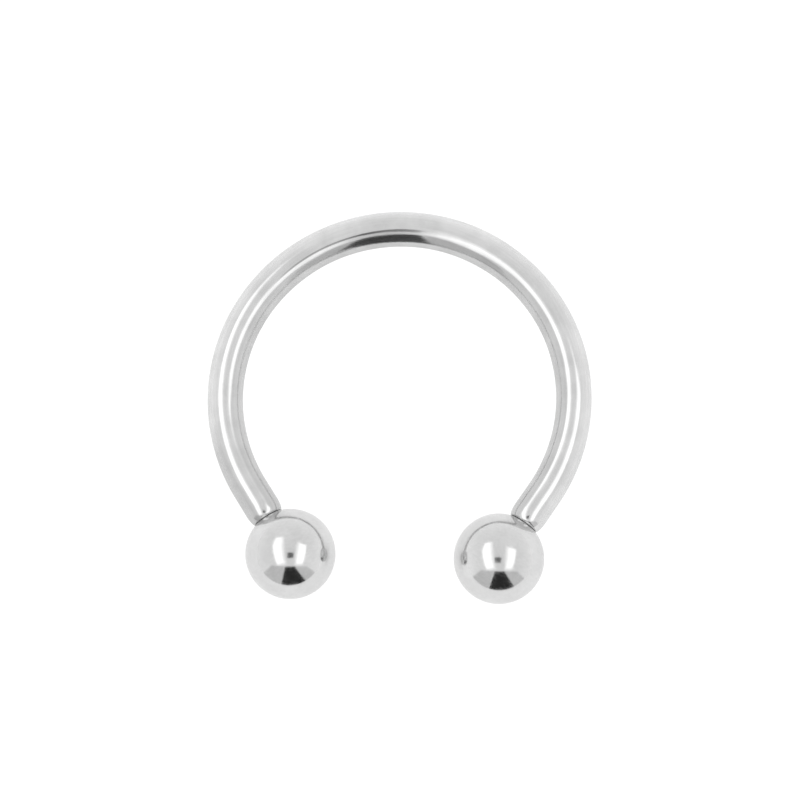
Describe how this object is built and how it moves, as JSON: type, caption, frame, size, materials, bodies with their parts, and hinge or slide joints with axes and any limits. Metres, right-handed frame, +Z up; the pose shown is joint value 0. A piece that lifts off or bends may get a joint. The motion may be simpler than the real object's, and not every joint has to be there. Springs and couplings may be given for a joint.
{
  "type": "horseshoe barbell",
  "caption": "Polished steel body ring bent to a horseshoe, with a screw-on ball at each end, lying on its side.",
  "frame": {"origin": "on the surface that it lies on, under the middle of its bounding box", "axes": "+X from the left ball to the right ball, +Y from the balls to the top of the bend, +Z up from the surface that it lies on"},
  "size_m": [0.0172, 0.0178, 0.004],
  "materials": {
    "bar_steel": "polished stainless steel with faint polishing lines along the wire",
    "ball_steel": "mirror-polished stainless steel"
  },
  "bodies": {
    "bar": {"bar": "bar_steel"},
    "ball_left": {"ball_left": "ball_steel"},
    "ball_right": {"ball_right": "ball_steel"}
  },
  "joints": [
    {"name": "ball_left_off", "type": "slide", "parent": "bar", "child": "ball_left", "axis": [0.549, -0.8331, 0.0668], "range_m": [0, 0.003]},
    {"name": "ball_right_off", "type": "slide", "parent": "bar", "child": "ball_right", "axis": [-0.549, -0.8331, 0.0668], "range_m": [0, 0.003]}
  ]
}
